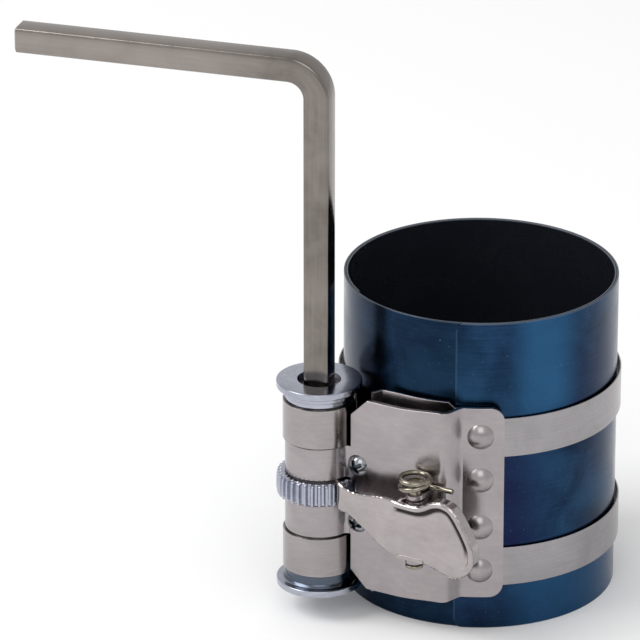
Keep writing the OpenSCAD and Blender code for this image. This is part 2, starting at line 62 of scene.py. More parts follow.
sleeve_radius = 33.5 * mm
sleeve_height = 80 * mm
strip_thickness = 0.45 * mm
layer_pitch = 0.55 * mm
sleeve_turns = 1.85
outer_end = math.radians(-71.5)
end_corner = 2 * mm
strip_edge = 0.12 * mm


def lay_mesh(name, points, faces, uv=None, tags=None, sharp=35):
    """Puts points and faces into a new object at the origin, with faces turned
    outwards, smooth shading and edges above the given angle kept sharp. A UV pair
    and named values may be given for each point."""
    mesh = bpy.data.meshes.new(name)
    mesh.from_pydata(points.reshape(-1, 3).tolist(), [], faces)
    if uv is not None:
        corners = np.empty(len(mesh.loops), np.int32)
        mesh.loops.foreach_get("vertex_index", corners)
        mesh.uv_layers.new(name="along").data.foreach_set("uv", uv.reshape(-1, 2)[corners].ravel())
    for tag, values in (tags or {}).items():
        mesh.attributes.new(tag, "FLOAT", "POINT").data.foreach_set("value", values.ravel())
    shell = bmesh.new()
    shell.from_mesh(mesh)
    bmesh.ops.remove_doubles(shell, verts=shell.verts, dist=1e-7)
    bmesh.ops.recalc_face_normals(shell, faces=shell.faces)
    shell.to_mesh(mesh)
    shell.free()
    mesh.polygons.foreach_set("use_smooth", np.ones(len(mesh.polygons), bool))
    mesh.set_sharp_from_angle(angle=math.radians(sharp))
    piece = bpy.data.objects.new(name, mesh)
    bpy.context.scene.collection.objects.link(piece)
    return piece


def grid_faces(rows, columns, ends="capped"):
    """Quads between neighbours of a grid whose columns close on themselves. The
    first and last row are capped, joined to each other or left to meet on an axis."""
    index = np.arange(rows * columns).reshape(rows, columns)
    along = np.roll(index, -1, axis=0)
    if ends != "joined":
        index, along = index[:-1], along[:-1]
    quads = np.stack([index, along, np.roll(along, -1, axis=1), np.roll(index, -1, axis=1)], -1)
    faces = quads.reshape(-1, 4).tolist()
    if ends == "capped":
        faces += [list(range(columns)), list(range((rows - 1) * columns, rows * columns))]
    return faces


def rounded_section(width, height, corner, steps=4):
    """Outline of a rectangle with quarter circles at its corners, centred on zero."""
    quarter = (np.arange(4)[:, None] * math.pi / 2 + np.linspace(0, math.pi / 2, steps)).ravel()
    centre = np.repeat([[1, 1], [-1, 1], [-1, -1], [1, -1]], steps, axis=0)
    reach = np.array([width / 2 - corner, height / 2 - corner])
    return centre * reach + corner * np.stack([np.cos(quarter), np.sin(quarter)], 1)


def carry_strip(name, path, thickness, low, high, edge, axes=(0, 1, 2)):
    """Carries a strip section with rounded edges along a plane path: its width lies
    across the path, its height runs from low to high at each station. The value
    'inside' is 1 on the face to the left of the path; axes may lay the plane on edge."""
    low, high = np.broadcast_to(low, len(path)), np.broadcast_to(high, len(path))
    top_half, low_half = np.split(rounded_section(thickness, 4 * edge, edge), 2)
    # a point just inside each rounding keeps the faces between them flat
    inner = np.array([[-thickness, edge], [-thickness, -edge]]) / 2
    section = np.concatenate([top_half, inner, low_half, -inner])
    upper = section[:, 1] > 0
    step = np.gradient(path, axis=0)
    step /= np.linalg.norm(step, axis=1, keepdims=True)
    side = np.stack([step[:, 1], -step[:, 0]], 1)
    grid = np.empty((len(path), len(section), 3))
    grid[..., :2] = path[:, None] + side[:, None] * section[None, :, :1]
    grid[..., 2] = np.where(upper, high[:, None] - 2 * edge, low[:, None] + 2 * edge) + section[:, 1]
    gone = np.concatenate([[0], np.cumsum(np.linalg.norm(np.diff(path, axis=0), axis=1))])
    uv = np.stack([np.repeat(gone[:, None], len(section), 1), grid[..., 2]], -1)
    inside = np.broadcast_to((section[:, 0] < 0).astype(float), grid.shape[:2])
    return lay_mesh(name, grid[..., axes], grid_faces(*grid.shape[:2]), uv, {"inside": inside})


def effect_group(name, inputs, outputs):
    """An empty shader group with named sockets, and its two end nodes."""
    group = bpy.data.node_groups.new(name, "ShaderNodeTree")
    for socket, kind in inputs:
        group.interface.new_socket(socket, in_out="INPUT", socket_type=kind)
    for socket, kind in outputs:
        group.interface.new_socket(socket, in_out="OUTPUT", socket_type=kind)
    return group, group.nodes.new("NodeGroupInput"), group.nodes.new("NodeGroupOutput")


# handling marks on plated and blued steel: slow patches of tone, fine scratches
# drawn out along one coordinate, and a grain of small pits
marks, marks_in, marks_out = effect_group(
    "handling_marks",
    [("Vector", "NodeSocketVector"), ("Patch Scale", "NodeSocketFloat"),
        ("Scratch Scale", "NodeSocketVector")],
    [("Patches", "NodeSocketFloat"), ("Scratches", "NodeSocketFloat"), ("Pits", "NodeSocketFloat")],
)
patch_noise = marks.nodes.new("ShaderNodeTexNoise")
patch_noise.inputs["Detail"].default_value = 6
patch_noise.inputs["Roughness"].default_value = 0.62
patch_noise.inputs["Distortion"].default_value = 0.6
marks.links.new(marks_in.outputs["Vector"], patch_noise.inputs["Vector"])
marks.links.new(marks_in.outputs["Patch Scale"], patch_noise.inputs["Scale"])
marks.links.new(patch_noise.outputs["Fac"], marks_out.inputs["Patches"])
drawn_out = marks.nodes.new("ShaderNodeVectorMath")
drawn_out.operation = "MULTIPLY"
marks.links.new(marks_in.outputs["Vector"], drawn_out.inputs[0])
marks.links.new(marks_in.outputs["Scratch Scale"], drawn_out.inputs[1])
scratch_noise = marks.nodes.new("ShaderNodeTexNoise")
scratch_noise.inputs["Scale"].default_value = 1
scratch_noise.inputs["Detail"].default_value = 5
scratch_noise.inputs["Roughness"].default_value = 0.7
marks.links.new(drawn_out.outputs[0], scratch_noise.inputs["Vector"])
marks.links.new(scratch_noise.outputs["Fac"], marks_out.inputs["Scratches"])
pit_noise = marks.nodes.new("ShaderNodeTexNoise")
pit_noise.inputs["Scale"].default_value = 2600
pit_noise.inputs["Detail"].default_value = 2
marks.links.new(marks_in.outputs["Vector"], pit_noise.inputs["Vector"])
marks.links.new(pit_noise.outputs["Fac"], marks_out.inputs["Pits"])


def strip_place(material):
    """Coordinates laid on a strip: its length from the first end and its height, in metres."""
    where = material.node_tree.nodes.new("ShaderNodeUVMap")
    where.uv_map = "along"
    return where.outputs["UV"]


def object_place(material):
    """Coordinates of the object, which are those of the whole part."""
    return material.node_tree.nodes.new("ShaderNodeTexCoord").outputs["Object"]


def split_place(material, place):
    """The three single coordinates of a place."""
    split = material.node_tree.nodes.new("ShaderNodeSeparateXYZ")
    material.node_tree.links.new(place, split.inputs["Vector"])
    return split.outputs


def slope(material, value, start, end, low=0.0, high=1.0):
    """A value that goes from low to high while another goes from start to end; past
    these it stays at low or high."""
    change = material.node_tree.nodes.new("ShaderNodeMapRange")
    for socket, setting in (("From Min", start), ("From Max", end), ("To Min", low), ("To Max", high)):
        change.inputs[socket].default_value = setting
    material.node_tree.links.new(value, change.inputs["Value"])
    return change.outputs["Result"]


def cloud_noise(material, place, scale, detail):
    """Plain noise over a place."""
    noise = material.node_tree.nodes.new("ShaderNodeTexNoise")
    noise.inputs["Scale"].default_value = scale
    noise.inputs["Detail"].default_value = detail
    material.node_tree.links.new(place, noise.inputs["Vector"])
    return noise.outputs["Fac"]


def point_value(material, tag):
    """A value that the mesh stores at each point."""
    reader = material.node_tree.nodes.new("ShaderNodeAttribute")
    reader.attribute_name = tag
    return reader.outputs["Fac"]


def steel_finish(name, dull, bright, gloss, along=False, patches=60, scratches=(60, 1800, 1800),
        mix=0.5, bump=0.06):
    """A plated or blued steel: the tone goes from dull to bright with patches and
    scratches, roughness varies between the two gloss values, and scratches and pits
    raise a fine bump. Coordinates are the object's, or the strip's own."""
    material = bpy.data.materials.new(name)
    material.use_nodes = True
    tree, link = material.node_tree, material.node_tree.links.new
    shader = tree.nodes["Principled BSDF"]
    shader.inputs["Metallic"].default_value = 1.0
    worn = tree.nodes.new("ShaderNodeGroup")
    worn.node_tree = marks
    worn.inputs["Patch Scale"].default_value = patches
    worn.inputs["Scratch Scale"].default_value = scratches
    link(strip_place(material) if along else object_place(material), worn.inputs["Vector"])
    tone = tree.nodes.new("ShaderNodeMix")
    tone.inputs["Factor"].default_value = mix
    link(worn.outputs["Patches"], tone.inputs["A"])
    link(worn.outputs["Scratches"], tone.inputs["B"])
    ramp = tree.nodes.new("ShaderNodeValToRGB")
    first, last = ramp.color_ramp.elements
    # most of the noise lies between these two values
    first.position, last.position = 0.34, 0.66
    first.color, last.color = (*dull, 1), (*bright, 1)
    link(tone.outputs["Result"], ramp.inputs["Fac"])
    link(ramp.outputs["Color"], shader.inputs["Base Color"])
    link(slope(material, worn.outputs["Patches"], 0.3, 0.7, *gloss), shader.inputs["Roughness"])
    relief = tree.nodes.new("ShaderNodeMix")
    relief.inputs["Factor"].default_value = 0.4
    link(worn.outputs["Scratches"], relief.inputs["A"])
    link(worn.outputs["Pits"], relief.inputs["B"])
    raised = tree.nodes.new("ShaderNodeBump")
    raised.inputs["Strength"].default_value = bump
    raised.inputs["Distance"].default_value = 0.2 * mm
    link(relief.outputs["Result"], raised.inputs["Height"])
    link(raised.outputs["Normal"], shader.inputs["Normal"])
    return material


def tint_where(material, colour, mask):
    """Lays a second colour over a finish's tone where the mask value is 1."""
    tree = material.node_tree
    over = tree.nodes.new("ShaderNodeMix")
    over.data_type = "RGBA"
    over.inputs["B"].default_value = (*colour, 1)
    tree.links.new(mask, over.inputs["Factor"])
    shader = tree.nodes["Principled BSDF"]
    tree.links.new(shader.inputs["Base Color"].links[0].from_socket, over.inputs["A"])
    tree.links.new(over.outputs["Result"], shader.inputs["Base Color"])


def window(material, value, edges, top=1.0):
    """A mask that climbs from 0 to top between the first two edges of a value and
    falls back to 0 between the last two."""
    start, full, fade, end = edges
    level = material.node_tree.nodes.new("ShaderNodeValToRGB")
    level.color_ramp.interpolation = "EASE"
    level.color_ramp.elements[1].color = (0, 0, 0, 1)
    for edge in (full, fade):
        level.color_ramp.elements.new((edge - start) / (end - start)).color = (top, top, top, 1)
    material.node_tree.links.new(slope(material, value, start, end), level.inputs["Fac"])
    return level.outputs["Color"]


def both(material, one, other):
    """The product of two masks."""
    product = material.node_tree.nodes.new("ShaderNodeMath")
    product.operation = "MULTIPLY"
    material.node_tree.links.new(one, product.inputs[0])
    material.node_tree.links.new(other, product.inputs[1])
    return product.outputs[0]


def cut_back(from_end, corner):
    """How far a strip's edge draws in near a rounded end: a quarter circle."""
    left = np.clip(corner - from_end, 0, corner)
    return corner - np.sqrt(corner**2 - left**2)


def dress(piece, body, material, slot, *replaced):
    """Gives a piece its material and seats it on its body in place of CAD nodes. The slot argument is not
    used.
    """
    piece.data.materials.clear()
    piece.data.materials.append(material)
    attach(piece, body)
    if replaced:
        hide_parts(*replaced)


# the coil in plan: half turns struck in turn from two centres, each half a layer further in
turned = np.linspace(0, 2 * math.pi * sleeve_turns, 720)
half_turn = np.floor(turned / math.pi)
coil_radius = sleeve_radius - strip_thickness / 2 - half_turn * layer_pitch / 2
coil = coil_radius[:, None] * np.stack([np.cos(turned), np.sin(turned)], 1)
coil[:, 0] += (1 - half_turn % 2) * layer_pitch / 2
facing = np.array([[math.cos(outer_end), math.sin(outer_end)], [-math.sin(outer_end), math.cos(outer_end)]])
# the outer end has its two corners cut back
end_cut = cut_back(turned * sleeve_radius, end_corner)
sleeve = carry_strip("sleeve_strip", coil @ facing, strip_thickness, end_cut, sleeve_height - end_cut,
    strip_edge)
blued = steel_finish("blued_spring_steel", (0.006, 0.014, 0.034), (0.019, 0.058, 0.128), (0.16, 0.34),
    along=True, patches=75, scratches=(60, 2600, 1), mix=0.35)
on_strip = strip_place(blued)
strip_along, strip_up = split_place(blued, on_strip)[:2]
# heat tints: slow clouds of teal and navy along the strip
heat = cloud_noise(blued, on_strip, 26, 2)
for colour, start, end in (((0.022, 0.085, 0.165), 0.52, 0.78), ((0.010, 0.014, 0.045), 0.48, 0.25)):
    tint_where(blued, colour, slope(blued, heat, start, end, high=0.8))
# where it lay in the heat: teal streaks above and below the bands near the outer end and violet between
# them; the last entry is painted shade and reflection, near black from 150 mm along; edges are millimetres
# along and up
for colour, share, along_edges, up_edges in (
    ((0.032, 0.135, 0.285), 0.52, (11, 20, 24, 34), (50, 60, 90, 95)),
    ((0.026, 0.100, 0.220), 0.55, (8, 22, 40, 60), (-10, -5, 10, 18)),
    ((0.011, 0.013, 0.050), 0.70, (-6, -3, 14, 26), (12, 24, 42, 54)),
    # painted shade and reflection of the plate: the strip is tinted near black from 150 mm along
    ((0.004, 0.007, 0.012), 0.45, (150, 185, 400, 410), (-10, -5, 90, 95)),
):
    lengthwise = window(blued, strip_along, [edge * mm for edge in along_edges], share)
    upward = window(blued, strip_up, [edge * mm for edge in up_edges])
    tint_where(blued, colour, both(blued, lengthwise, upward))
# pale specks where it is scuffed
specks = cloud_noise(blued, on_strip, 1500, 3)
tint_where(blued, (0.10, 0.16, 0.20), slope(blued, specks, 0.66, 0.76, high=0.5))
# painted shade: the inner face is tinted near black and made mostly non-metallic, standing in for the shade
# inside the coil
painted_shade_inside = point_value(blued, "inside")
tint_where(blued, (0.009, 0.011, 0.016), painted_shade_inside)
blued.node_tree.links.new(slope(blued, painted_shade_inside, 0, 1, 1.0, 0.1),
    blued.node_tree.nodes["Principled BSDF"].inputs["Metallic"])
# pale rims, partly worn blue and partly a painted highlight on the rounded edges: pale within a quarter of a
# millimetre of the upper and lower edge, and at the outer end
rim_width = 0.25 * mm
off_rim = blued.node_tree.nodes.new("ShaderNodeMath")
off_rim.operation = "COMPARE"
off_rim.inputs[1].default_value = sleeve_height / 2
off_rim.inputs[2].default_value = sleeve_height / 2 - rim_width
blued.node_tree.links.new(strip_up, off_rim.inputs[0])
tint_where(blued, (0.16, 0.19, 0.24), slope(blued, off_rim.outputs[0], 0, 1, 0.3, 0.0))
tint_where(blued, (0.10, 0.16, 0.22), slope(blued, strip_along, 0.2 * mm, 0.5 * mm, 0.2, 0.0))
dress(sleeve, "frame", blued, "blued_steel", "sleeve")


# Bands: two strips of bright spring steel, riveted under the plates, laid round the
# sleeve and drawn across to the spindle. They are slit from sheet and rubbed dull
# along their length by the sleeve and by hands.
band_radius = 34.275 * mm
band_thickness, band_width = 0.4 * mm, 10 * mm
band_start = math.radians(-68)
wound_radius = 9.35 * mm
spindle_axis = np.array([-23.3943, -37.825]) * mm
axis_reach = math.hypot(*spindle_axis)
crossing = math.acos((band_radius + wound_radius) / axis_reach)
leave = math.atan2(spindle_axis[1], spindle_axis[0]) + 2 * math.pi - crossing
round_sleeve = np.linspace(band_start, leave, 320)
band_path = band_radius * np.stack([np.cos(round_sleeve), np.sin(round_sleeve)], 1)
# past the last point the band runs straight on, tangent to sleeve and spindle
free_length = np.linspace(0, axis_reach * math.sin(crossing), 12)[1:, None]
free_run = free_length * [-math.sin(leave), math.cos(leave)]
band_path = np.concatenate([band_path, band_path[-1] + free_run])
band_steel = steel_finish("band_steel", (0.27, 0.258, 0.268), (0.385, 0.368, 0.382), (0.2, 0.34),
    along=True, patches=90, scratches=(60, 3000, 1), mix=0.45)
for node, low in (("upper_band", 45.6 * mm), ("lower_band", 11.6 * mm)):
    strip = carry_strip(node + "_strip", band_path, band_thickness, low, low + band_width, strip_edge)
    dress(strip, "frame", band_steel, "band_steel", node)


# Wound turns: the far ends of the bands, hooked into slots in the spindle and wound
# on it in close turns. Same strip as the bands, bent tight, edges rubbed bright.
def finished_copy(name, node, width, until=None):
    """A copy of a CAD node with its triangles merged, flat parts joined and its
    edges rounded to the given width; past the given x it may be cut off and closed."""
    mesh = nodes[node].data.copy()
    mesh.name = name
    mesh.transform(nodes[node].matrix_world)
    if "custom_normal" in mesh.attributes:
        mesh.attributes.remove(mesh.attributes["custom_normal"])
    shell = bmesh.new()
    shell.from_mesh(mesh)
    bmesh.ops.remove_doubles(shell, verts=shell.verts, dist=2e-6)
    if until is not None:
        whole = shell.verts[:] + shell.edges[:] + shell.faces[:]
        bmesh.ops.bisect_plane(shell, geom=whole, plane_co=(until, 0, 0), plane_no=(1, 0, 0),
            clear_outer=True)
        bmesh.ops.holes_fill(shell, edges=shell.edges, sides=0)
    bmesh.ops.dissolve_limit(shell, angle_limit=math.radians(0.4), verts=shell.verts, edges=shell.edges)
    bmesh.ops.recalc_face_normals(shell, faces=shell.faces)
    shell.to_mesh(mesh)
    shell.free()
    mesh.polygons.foreach_set("use_smooth", np.ones(len(mesh.polygons), bool))
    mesh.set_sharp_from_angle(angle=math.radians(35))
    piece = bpy.data.objects.new(name, mesh)
    bpy.context.scene.collection.objects.link(piece)
    edge = piece.modifiers.new("edge", "BEVEL")
    edge.width, edge.segments = width, 2
    edge.limit_method, edge.angle_limit = "ANGLE", math.radians(40)
    edge.harden_normals = True
    return piece


turn_steel = steel_finish("wound_band_steel", (0.28, 0.256, 0.258), (0.39, 0.36, 0.362), (0.10, 0.22),
    patches=120, scratches=(200, 200, 5200), mix=0.55)
for node in ("upper_band_coil", "lower_band_coil"):
    dress(finished_copy(node + "_turns", node, 0.05 * mm), "spindle", turn_steel, "band_steel", node)


# Plates: the front plate is stepped sheet, curled into two knuckles round the spindle,
# with two lugs for the pin; a thinner plate backs it. Both are blanked, pressed and
# nickel plated, so the edges are soft and the faces smooth with light scuffs.
nickel = steel_finish("nickel_plate", (0.30, 0.272, 0.28), (0.395, 0.362, 0.37), (0.17, 0.29),
    patches=75, scratches=(260, 260, 900), mix=0.35, bump=0.05)
pin_place = np.array([6.3, -43.625]) * mm
plate_low, plate_high = 8.25 * mm, 58.05 * mm
plate_thickness, plate_edge = 1.2 * mm, 0.16 * mm
plate_corner = 3.4 * mm


def ease(low, high, value):
    """0 below low, 1 above high and a smooth S between."""
    part = np.clip((value - low) / (high - low), 0, 1)
    return part * part * (3 - 2 * part)


def soften(points, reach, steps=5, closed=True):
    """Rounds each corner of an outline: a parabola from a point before it to one
    behind it, both within reach of the corner. Ends of an open line stay."""
    def toward(other):
        gap = other - points
        length = np.maximum(np.linalg.norm(gap, axis=1, keepdims=True), 1e-9)
        return points + gap / length * np.minimum(reach, 0.45 * length)
    part = np.linspace(0, 1, steps)[None, :, None]
    start, end = toward(np.roll(points, 1, axis=0))[:, None], toward(np.roll(points, -1, axis=0))[:, None]
    bent = (1 - part) ** 2 * start + 2 * part * (1 - part) * points[:, None] + part**2 * end
    if closed:
        return bent.reshape(-1, points.shape[1])
    return np.concatenate([points[:1], bent[1:-1].reshape(-1, points.shape[1]), points[-1:]])


def sheet_path(corners, bend, radius, angles):
    """Plan of a bent sheet: through the corners, each rounded over the bend, then along an
    arc about the sleeve's axis between two angles. Returns stations and their way to the end."""
    turn = np.radians(np.linspace(*angles, 90))
    curve = radius * np.stack([np.cos(turn), np.sin(turn)], 1)
    line = np.concatenate([soften(np.concatenate([corners, curve[:1]]), bend, 24, False), curve[1:]])
    gone = np.concatenate([[0], np.cumsum(np.linalg.norm(np.diff(line, axis=0), axis=1))])
    round_end = gone[-1] - plate_corner * (1 - np.cos(np.linspace(0, math.pi / 2, 24)))
    at = np.unique(np.concatenate([np.linspace(0, gone[-1], 320), round_end]))
    return np.stack([np.interp(at, gone, line[:, 0]), np.interp(at, gone, line[:, 1])], 1), gone[-1] - at


def tongue(name, outline, low, thickness):
    """A flat tongue about the pin: its outline at four levels, the outer two drawn in a little."""
    levels = np.array([[0.94, 0], [1, 0.12], [1, 0.88], [0.94, 1]])
    grid = np.empty((4, len(outline), 3))
    grid[..., :2] = pin_place + outline * levels[:, :1, None]
    grid[..., 2] = low + levels[:, 1:] * thickness
    return lay_mesh(name, grid, grid_faces(4, len(outline)))


# the panel is flat, steps back in two soft bends and follows the sleeve; its riveted side
# stands a little higher, and the film of nickel covers the seam with the knuckles
panel_corners = np.array([[-12.394, -38.575], [11.6, -38.575], [13.113, -33.418]]) * mm
panel_left, panel_chamfer = -13.894 * mm, 4.4 * mm
panel_radius, panel_arc = 35.875 * mm, (-66.5, -52)
film = 0.01 * mm
panel, panel_rest = sheet_path(panel_corners, 1.5 * mm, panel_radius, panel_arc)
panel_cut = cut_back(panel_rest, plate_corner) + np.clip(panel_chamfer + panel_left - panel[:, 0], 0, None)
panel_lift = 1.2 * mm * ease(-2 * mm, 13 * mm, panel[:, 0])
panel_low = plate_low - film + panel_lift + panel_cut
panel_high = plate_high + film + panel_lift - panel_cut
stepped = carry_strip("stepped_plate", panel, plate_thickness + 2 * film, panel_low, panel_high, plate_edge)
dress(stepped, "frame", nickel, "nickel_plate", "front_plate")
knuckle_end = -9.9 * mm
knuckles = finished_copy("plate_knuckles", "front_plate", plate_edge, knuckle_end)
dress(knuckles, "frame", nickel, "nickel_plate")
# the lugs stand out from the panel to the pin, round at the front
half_round = np.linspace(0, math.pi, 24)
half_ring = np.stack([np.cos(half_round), np.sin(half_round)], 1)
lug_radius, lug_foot = 2.2 * mm, 4.7 * mm
lug = np.concatenate([lug_radius * half_ring * [1, -1], [[-lug_radius, lug_foot], [lug_radius, lug_foot]]])
for name, low in (("plate_lug_upper", 38.05 * mm), ("plate_lug_lower", 21.1 * mm)):
    dress(tongue(name, lug, low, plate_thickness), "frame", nickel, "nickel_plate")
# the backing sheet turns forward on the left and is taller than the panel as far as the step
backing_corners = np.array([[-8.894, -37.675], [-7.394, -34.875]]) * mm
backing_radius, backing_arc = 34.875 * mm, (-90, -52.8)
backing_thickness = 0.8 * mm
backing, backing_rest = sheet_path(backing_corners, 0.8 * mm, backing_radius, backing_arc)
backing_cut = cut_back(backing_rest, plate_corner)
tall_until, narrows_over = 9.8 * mm, 1.4 * mm
tall_low, tall_high = 7.2 * mm, 60.0 * mm
low_drawn_in, high_drawn_in = 2.85 * mm, 1.35 * mm
narrowed = np.clip((backing[:, 0] - tall_until) / narrows_over, 0, 1)
backing_low = tall_low + low_drawn_in * narrowed + backing_cut
backing_high = tall_high - high_drawn_in * narrowed - backing_cut
back_sheet = carry_strip("backing_plate", backing, backing_thickness, backing_low, backing_high, strip_edge)
dress(back_sheet, "frame", nickel, "nickel_plate", "back_plate")


# Rivets: four mild-steel rivets with low round heads, driven through plates and bands
# along one line. The heads are set cold, smooth on top with a crisp foot.
rivet_line = math.radians(-61)
rivet_seat = 36.475 * mm
rivet_heights = np.array([51.9, 40.5, 28.1, 16.7]) * mm


def dome(radius, height, steps=20):
    """Profile of a round head from its crown to its rim: part of a circle through both."""
    ball = (radius**2 + height**2) / (2 * height)
    out = radius * np.sin(np.linspace(0, math.pi / 2, steps))
    return np.stack([out, np.sqrt(ball**2 - out**2) - ball + height], 1)


def turn_profile(name, profile, place, facing=((1, 0, 0), (0, 1, 0), (0, 0, 1)), ends="open", steps=96):
    """Turns pairs of radius and height once round an axis; facing holds the three
    directions of the piece's own axes, and place is its zero."""
    angle = np.linspace(0, 2 * math.pi, steps, endpoint=False)
    grid = np.stack([profile[:, :1] * np.cos(angle), profile[:, :1] * np.sin(angle),
        np.repeat(profile[:, 1:], steps, 1)], -1)
    return lay_mesh(name, grid @ np.array(facing) + place, grid_faces(len(profile), steps, ends))


rivet_nickel = steel_finish("rivet_nickel", (0.30, 0.272, 0.28), (0.395, 0.362, 0.37), (0.24, 0.36),
    patches=160, scratches=(700, 700, 700), mix=0.35)
rivet_out = np.array([math.cos(rivet_line), math.sin(rivet_line), 0])
rivet_facing = ((-rivet_out[1], rivet_out[0], 0), (0, 0, 1), rivet_out)
rivet_shank = np.array([[1.5, 0], [1.5, -2.4], [0, -2.4]]) * mm
rivet_profile = np.concatenate([dome(3.2 * mm, 1.5 * mm), rivet_shank])
for count, height in enumerate(rivet_heights, 1):
    rivet_place = rivet_out * rivet_seat + [0, 0, height]
    rivet = turn_profile(f"rivet_{count}_head", rivet_profile, rivet_place, rivet_facing)
    dress(rivet, "frame", rivet_nickel, "nickel_plate", f"rivet_{count}")


# Knuckle screws: two pan-head steel screws that close the knuckles, zinc plated, with
# a pressed cross recess. They were driven home at different turns.
screw_shank = np.array([[1.45, 0], [1.45, -1.2], [0, -1.2]]) * mm
screw_profile = np.concatenate([dome(2.7 * mm, 1.7 * mm, 44), screw_shank])
screw_out, screw_rise = screw_profile[:, :1], screw_profile[:, 1:]
# the cross: where its arms' flanks and ends fall away, how deep it is, and the height it is cut above
arm_flank, arm_end = (0.36 * mm, 0.54 * mm), (1.5 * mm, 1.85 * mm)
recess_depth, recess_from = 0.9 * mm, 0.5 * mm
screw_angle = np.linspace(0, 2 * math.pi, 144, endpoint=False)
screw_zinc = steel_finish("screw_zinc", (0.24, 0.25, 0.265), (0.38, 0.39, 0.41), (0.12, 0.24),
    patches=300, scratches=(900, 900, 900))
# painted shade: the cross recess is tinted dark
tint_where(screw_zinc, (0.05, 0.06, 0.075), point_value(screw_zinc, "recess"))
for node, height, turn in (("knuckle_screw_upper", 40.6, 25), ("knuckle_screw_lower", 25.6, -12)):
    across = np.abs(screw_out * np.cos(screw_angle - math.radians(turn)))
    along = np.abs(screw_out * np.sin(screw_angle - math.radians(turn)))
    one = (1 - ease(*arm_flank, across)) * (1 - ease(*arm_end, along))
    other = (1 - ease(*arm_flank, along)) * (1 - ease(*arm_end, across))
    recess = np.maximum(one, other) * (screw_rise > recess_from)
    screw_grid = np.stack([screw_out * np.cos(screw_angle), recess_depth * recess - screw_rise,
        screw_out * np.sin(screw_angle)], -1) + np.array([-11.994, -39.175, height]) * mm
    screw = lay_mesh(node + "_head", screw_grid, grid_faces(*screw_grid.shape[:2], "open"),
        tags={"recess": recess}, sharp=50)
    dress(screw, "frame", screw_zinc, "zinc_plate", node)


# Spindle shaft: a hollow steel shaft with a square socket and slots for the bands. It
# shows only between the other pieces on it; turned bar, broached, left bright.
shaft_steel = steel_finish("shaft_steel", (0.22, 0.21, 0.21), (0.34, 0.325, 0.325), (0.26, 0.40),
    patches=120, scratches=(300, 300, 4200))
shaft = finished_copy("socket_shaft", "spindle_shaft", 0.08 * mm)
dress(shaft, "spindle", shaft_steel, "band_steel", "spindle_shaft")


# Flanges: two turned steel discs with stepped hubs, pressed on the ends of the shaft
# and zinc plated. The top one is open for the key; fine turning marks run round them.
zinc = steel_finish("zinc_plate", (0.32, 0.335, 0.395), (0.475, 0.495, 0.565), (0.12, 0.26),
    patches=90, scratches=(700, 700, 1600), mix=0.35, bump=0.08)
# painted shade and reflection: the hub of the lower disc is tinted dark
zinc_up = split_place(zinc, object_place(zinc))["Z"]
hub_shade_edges = [edge * mm for edge in (8.3, 8.7, 11.3, 12.0)]
tint_where(zinc, (0.05, 0.07, 0.10), window(zinc, zinc_up, hub_shade_edges, 0.88))
on_spindle = np.array([*spindle_axis, 0])
disc_softness = 0.35 * mm
top_profile = np.array([[7.07, 55.9], [8.35, 55.9], [8.35, 57.35], [9.05, 57.35], [9.05, 58.8],
    [10.4, 58.8], [10.4, 60.5], [5.2, 60.5], [5.2, 58.8], [7.07, 58.8]]) * mm
top_profile = soften(top_profile, disc_softness)
top_disc = turn_profile("top_disc", top_profile, on_spindle, ends="joined", steps=144)
dress(top_disc, "spindle", zinc, "zinc_plate", "top_flange")
bottom_profile = np.array([[0, 6.7], [10.4, 6.7], [10.4, 8.4], [8.85, 8.4], [8.05, 9.2], [8.05, 11.3],
    [7.07, 11.3], [7.07, 8.4], [0, 8.4]]) * mm
bottom_profile = soften(bottom_profile, disc_softness, closed=False)
bottom_disc = turn_profile("bottom_disc", bottom_profile, on_spindle, steps=144)
dress(bottom_disc, "spindle", zinc, "zinc_plate", "bottom_flange")


# Ratchet wheel: a steel ring with straight milled teeth, pressed on the shaft between
# the knuckles and zinc plated. The teeth are worn a little round at their tips.
wheel_root, wheel_tip, wheel_bore = 9.4 * mm, 10.4 * mm, 7.07 * mm
wheel_low, wheel_high = 30.75 * mm, 36.45 * mm
wheel_teeth = 36
pawl_angle = math.radians(-35)
wheel_angle = np.linspace(0, 2 * math.pi, wheel_teeth * 14, endpoint=False)
# each tooth: how far round from its middle, in parts of a tooth pitch
from_tooth = np.abs(np.mod((wheel_angle - pawl_angle) * wheel_teeth / (2 * math.pi), 1) - 0.5)
tooth_edge = wheel_tip - (wheel_tip - wheel_root) * ease(0.13, 0.32, from_tooth)
# the section runs from the bore, 0, to the toothed edge, 1
wheel_section = soften(np.array([[0, wheel_low], [1, wheel_low], [1, wheel_high], [0, wheel_high]]), 0.12)
wheel_radius = wheel_bore + wheel_section[:, :1] * (tooth_edge - wheel_bore)
wheel_grid = np.stack([wheel_radius * np.cos(wheel_angle), wheel_radius * np.sin(wheel_angle),
    np.repeat(wheel_section[:, 1:], len(wheel_angle), 1)], -1) + on_spindle
wheel = lay_mesh("toothed_wheel", wheel_grid, grid_faces(*wheel_grid.shape[:2], "joined"), sharp=60)
dress(wheel, "spindle", zinc, "zinc_plate", "ratchet_wheel")


# Key: an L-shaped bar of square steel that stands loose in the shaft's socket. Drawn
# bar, bent hot round one corner, with sawn ends; its skin is dull and a little brown.
key_way = math.radians(193)
key_outward = np.array([math.cos(key_way), math.sin(key_way), 0])
key_across = np.array([-key_outward[1], key_outward[0], 0])
key_side, key_edge, key_bend = 6.35 * mm, 0.8 * mm, 7.175 * mm
key_top, key_low, key_arm = 140 * mm, 8.7 * mm, 75 * mm
